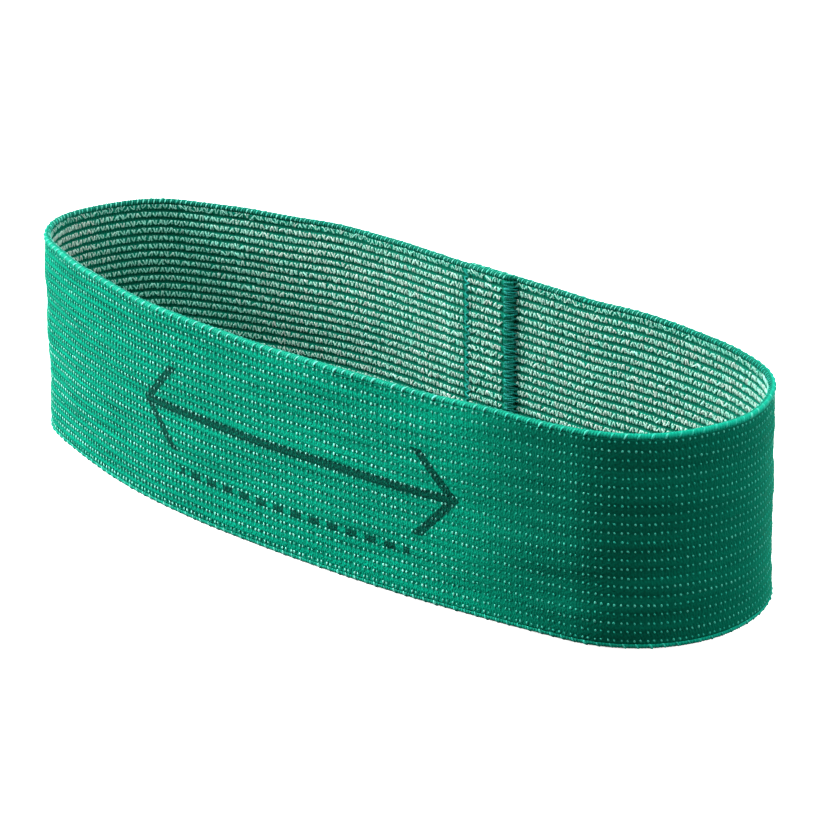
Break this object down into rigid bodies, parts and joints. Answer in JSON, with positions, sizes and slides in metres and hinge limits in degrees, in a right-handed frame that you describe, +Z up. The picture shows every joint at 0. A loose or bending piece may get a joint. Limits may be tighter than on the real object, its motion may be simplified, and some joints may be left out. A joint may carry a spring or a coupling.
{
  "type": "resistance band",
  "caption": "Closed loop of wide knitted elastic with rolled edges, grip yarns inside and a lapped, twice stitched seam, standing on its edge.",
  "frame": {"origin": "centre of the overall box, on the surface that the lower edge stands on", "axes": "+X along the straight part of the back wall, which is the loop's long way; +Y from the front wall to the back wall with the seam; +Z up, across the width of the band"},
  "size_m": [0.2602, 0.0922, 0.06],
  "materials": {
    "face_knit": "ribbed knit with small pale flecks",
    "backing_knit": "green ground knit",
    "rubber_cord": "square cut rubber thread",
    "grip_yarn": "pale tacky zigzag yarn",
    "rolled_edge": "rolled knitted edge",
    "seam_thread": "teal sewing thread"
  },
  "bodies": {
    "middle": {"back_left_backing_cloth": "backing_knit", "back_left_face_cloth": "face_knit", "back_left_grip_yarns": "grip_yarn", "back_left_lower_edge": "rolled_edge", "back_left_rubber_cords": "rubber_cord", "back_left_upper_edge": "rolled_edge", "back_right_backing_cloth": "backing_knit", "back_right_face_cloth": "face_knit", "back_right_grip_yarns": "grip_yarn", "back_right_lower_edge": "rolled_edge", "back_right_rubber_cords": "rubber_cord", "back_right_upper_edge": "rolled_edge", "cover_seam_inner_thread": "seam_thread", "cover_seam_outer_thread": "seam_thread", "front_left_backing_cloth": "backing_knit", "front_left_face_cloth": "face_knit", "front_left_grip_yarns": "grip_yarn", "front_left_lower_edge": "rolled_edge", "front_left_rubber_cords": "rubber_cord", "front_left_upper_edge": "rolled_edge", "front_right_backing_cloth": "backing_knit", "front_right_face_cloth": "face_knit", "front_right_grip_yarns": "grip_yarn", "front_right_lower_edge": "rolled_edge", "front_right_rubber_cords": "rubber_cord", "front_right_upper_edge": "rolled_edge", "tail_seam_inner_thread": "seam_thread", "tail_seam_outer_thread": "seam_thread"},
    "left_end": {"left_end_backing_cloth": "backing_knit", "left_end_face_cloth": "face_knit", "left_end_grip_yarns": "grip_yarn", "left_end_lower_edge": "rolled_edge", "left_end_rubber_cords": "rubber_cord", "left_end_upper_edge": "rolled_edge"},
    "right_end": {"right_end_backing_cloth": "backing_knit", "right_end_face_cloth": "face_knit", "right_end_grip_yarns": "grip_yarn", "right_end_lower_edge": "rolled_edge", "right_end_rubber_cords": "rubber_cord", "right_end_upper_edge": "rolled_edge"}
  },
  "joints": [
    {"name": "left_stretch", "type": "slide", "parent": "middle", "child": "left_end", "axis": [-1, 0, 0], "range_m": [0, 0.1], "stiffness_N_per_m": 1000, "deforming": ["back_left_backing_cloth", "back_left_face_cloth", "back_left_grip_yarns", "back_left_lower_edge", "back_left_rubber_cords", "back_left_upper_edge", "front_left_backing_cloth", "front_left_face_cloth", "front_left_grip_yarns", "front_left_lower_edge", "front_left_rubber_cords", "front_left_upper_edge"]},
    {"name": "right_stretch", "type": "slide", "parent": "middle", "child": "right_end", "axis": [1, 0, 0], "range_m": [0, 0.1], "stiffness_N_per_m": 1000, "deforming": ["back_right_backing_cloth", "back_right_face_cloth", "back_right_grip_yarns", "back_right_lower_edge", "back_right_rubber_cords", "back_right_upper_edge", "front_right_backing_cloth", "front_right_face_cloth", "front_right_grip_yarns", "front_right_lower_edge", "front_right_rubber_cords", "front_right_upper_edge"]}
  ],
  "couplings": [
    {"joint": "right_stretch", "follows": "left_stretch", "ratio": 1}
  ]
}
